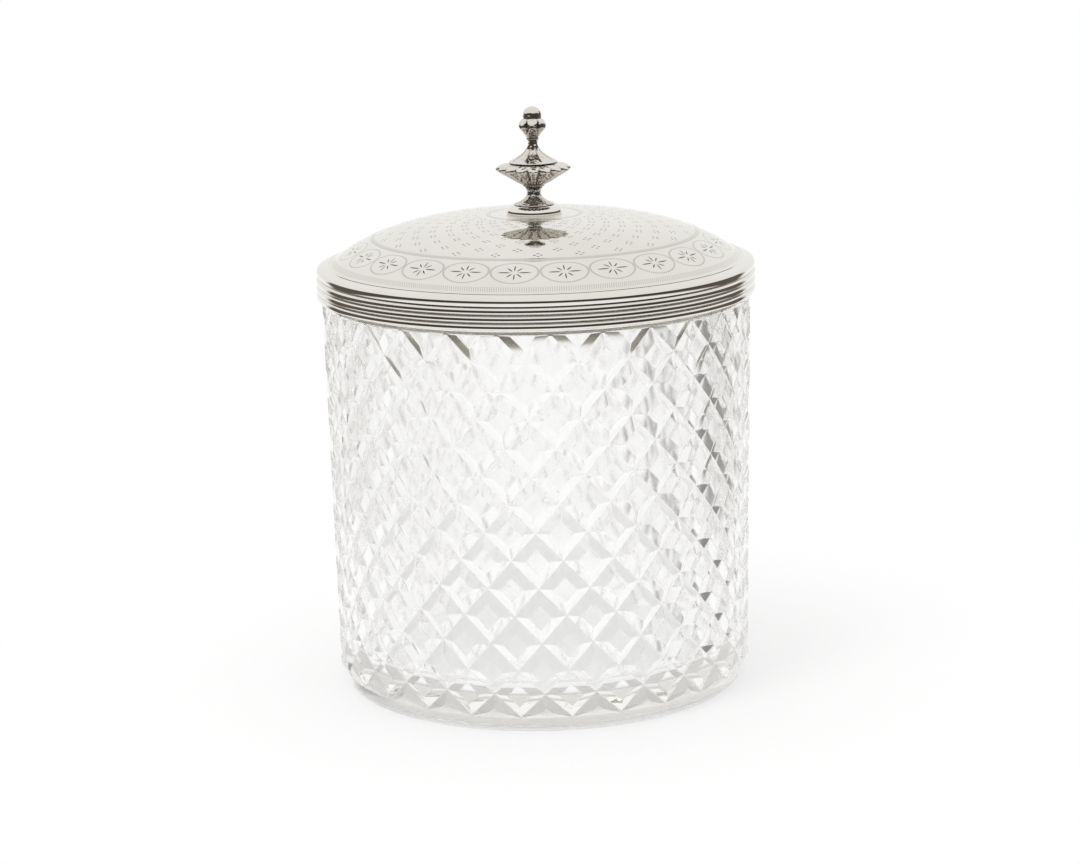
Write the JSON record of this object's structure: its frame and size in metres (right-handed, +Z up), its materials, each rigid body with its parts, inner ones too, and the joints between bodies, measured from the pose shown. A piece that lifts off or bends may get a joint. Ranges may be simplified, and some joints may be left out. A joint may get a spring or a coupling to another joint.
{
  "type": "biscuit jar",
  "caption": "Covered cut-glass biscuit jar with a reeded plated collar and a domed plated lid, lifted by a turned and gadrooned finial.",
  "frame": {"origin": "centre of the foot ring, on the table", "axes": "+Z up along the jar's axis, -Y towards the front of the picture"},
  "size_m": [0.14, 0.14, 0.1853],
  "materials": {
    "crystal": "diamond-cut lead crystal, acid polished, clear",
    "plated_collar": "polished silver plate",
    "plated_lid": "polished silver plate with bright-cut engraving",
    "plated_finial": "cast silver plate, polished, brown tarnish in the hollows",
    "plaster": "matt white plaster",
    "fastener_brass": "turned brass, dull"
  },
  "bodies": {
    "jar": {"glass_body": "crystal", "rim_collar": "plated_collar", "collar_cement": "plaster"},
    "lid": {"lid_dome": "plated_lid", "lid_bezel": "plated_collar", "finial_foot": "plated_finial", "finial_stem": "plated_finial", "finial_bowl": "plated_finial", "finial_cover": "plated_finial", "finial_knop": "plated_finial", "finial_stud": "fastener_brass", "stud_washer": "fastener_brass", "stud_nut": "fastener_brass"}
  },
  "joints": [
    {"name": "lid_lift", "type": "slide", "parent": "jar", "child": "lid", "axis": [0, 0, 1], "range_m": [0, 0.1]}
  ]
}
